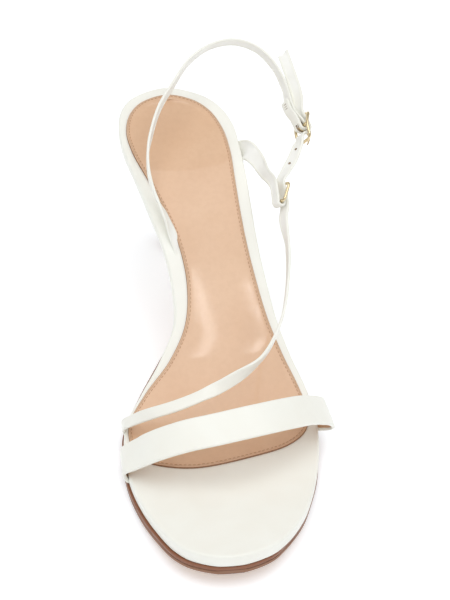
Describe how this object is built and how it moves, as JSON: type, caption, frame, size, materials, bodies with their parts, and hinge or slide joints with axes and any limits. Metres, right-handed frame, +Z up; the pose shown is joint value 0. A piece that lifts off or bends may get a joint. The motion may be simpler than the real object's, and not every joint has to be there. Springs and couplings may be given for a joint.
{
  "type": "slingback sandal",
  "caption": "Left high-heeled slingback sandal with a toe strap, a diagonal instep strap and a buckled sling round the heel.",
  "frame": {"origin": "on the floor under the middle of the sandal's bounding box", "axes": "+Z up, the toe points along -Y, the heel along +Y, the lateral side of this left sandal is +X"},
  "size_m": [0.0909, 0.2232, 0.0998],
  "materials": {
    "sole_leather": "smooth waxed edge",
    "wrapped_leather": "smooth semi-gloss",
    "tan_lining": "smooth satin",
    "covered_heel": "smooth semi-gloss",
    "top_piece": "matte",
    "strap_leather": "glossy",
    "pale_gold": "polished"
  },
  "bodies": {
    "root": {"outsole": "sole_leather", "footbed": "wrapped_leather", "sock": "tan_lining", "heel": "covered_heel", "heel_tip": "top_piece", "toe_strap": "strap_leather", "instep_strap": "strap_leather", "rear_strap": "strap_leather", "sling_strap": "strap_leather", "ring": "pale_gold", "buckle_frame": "pale_gold", "buckle_prong": "pale_gold"}
  },
  "joints": []
}
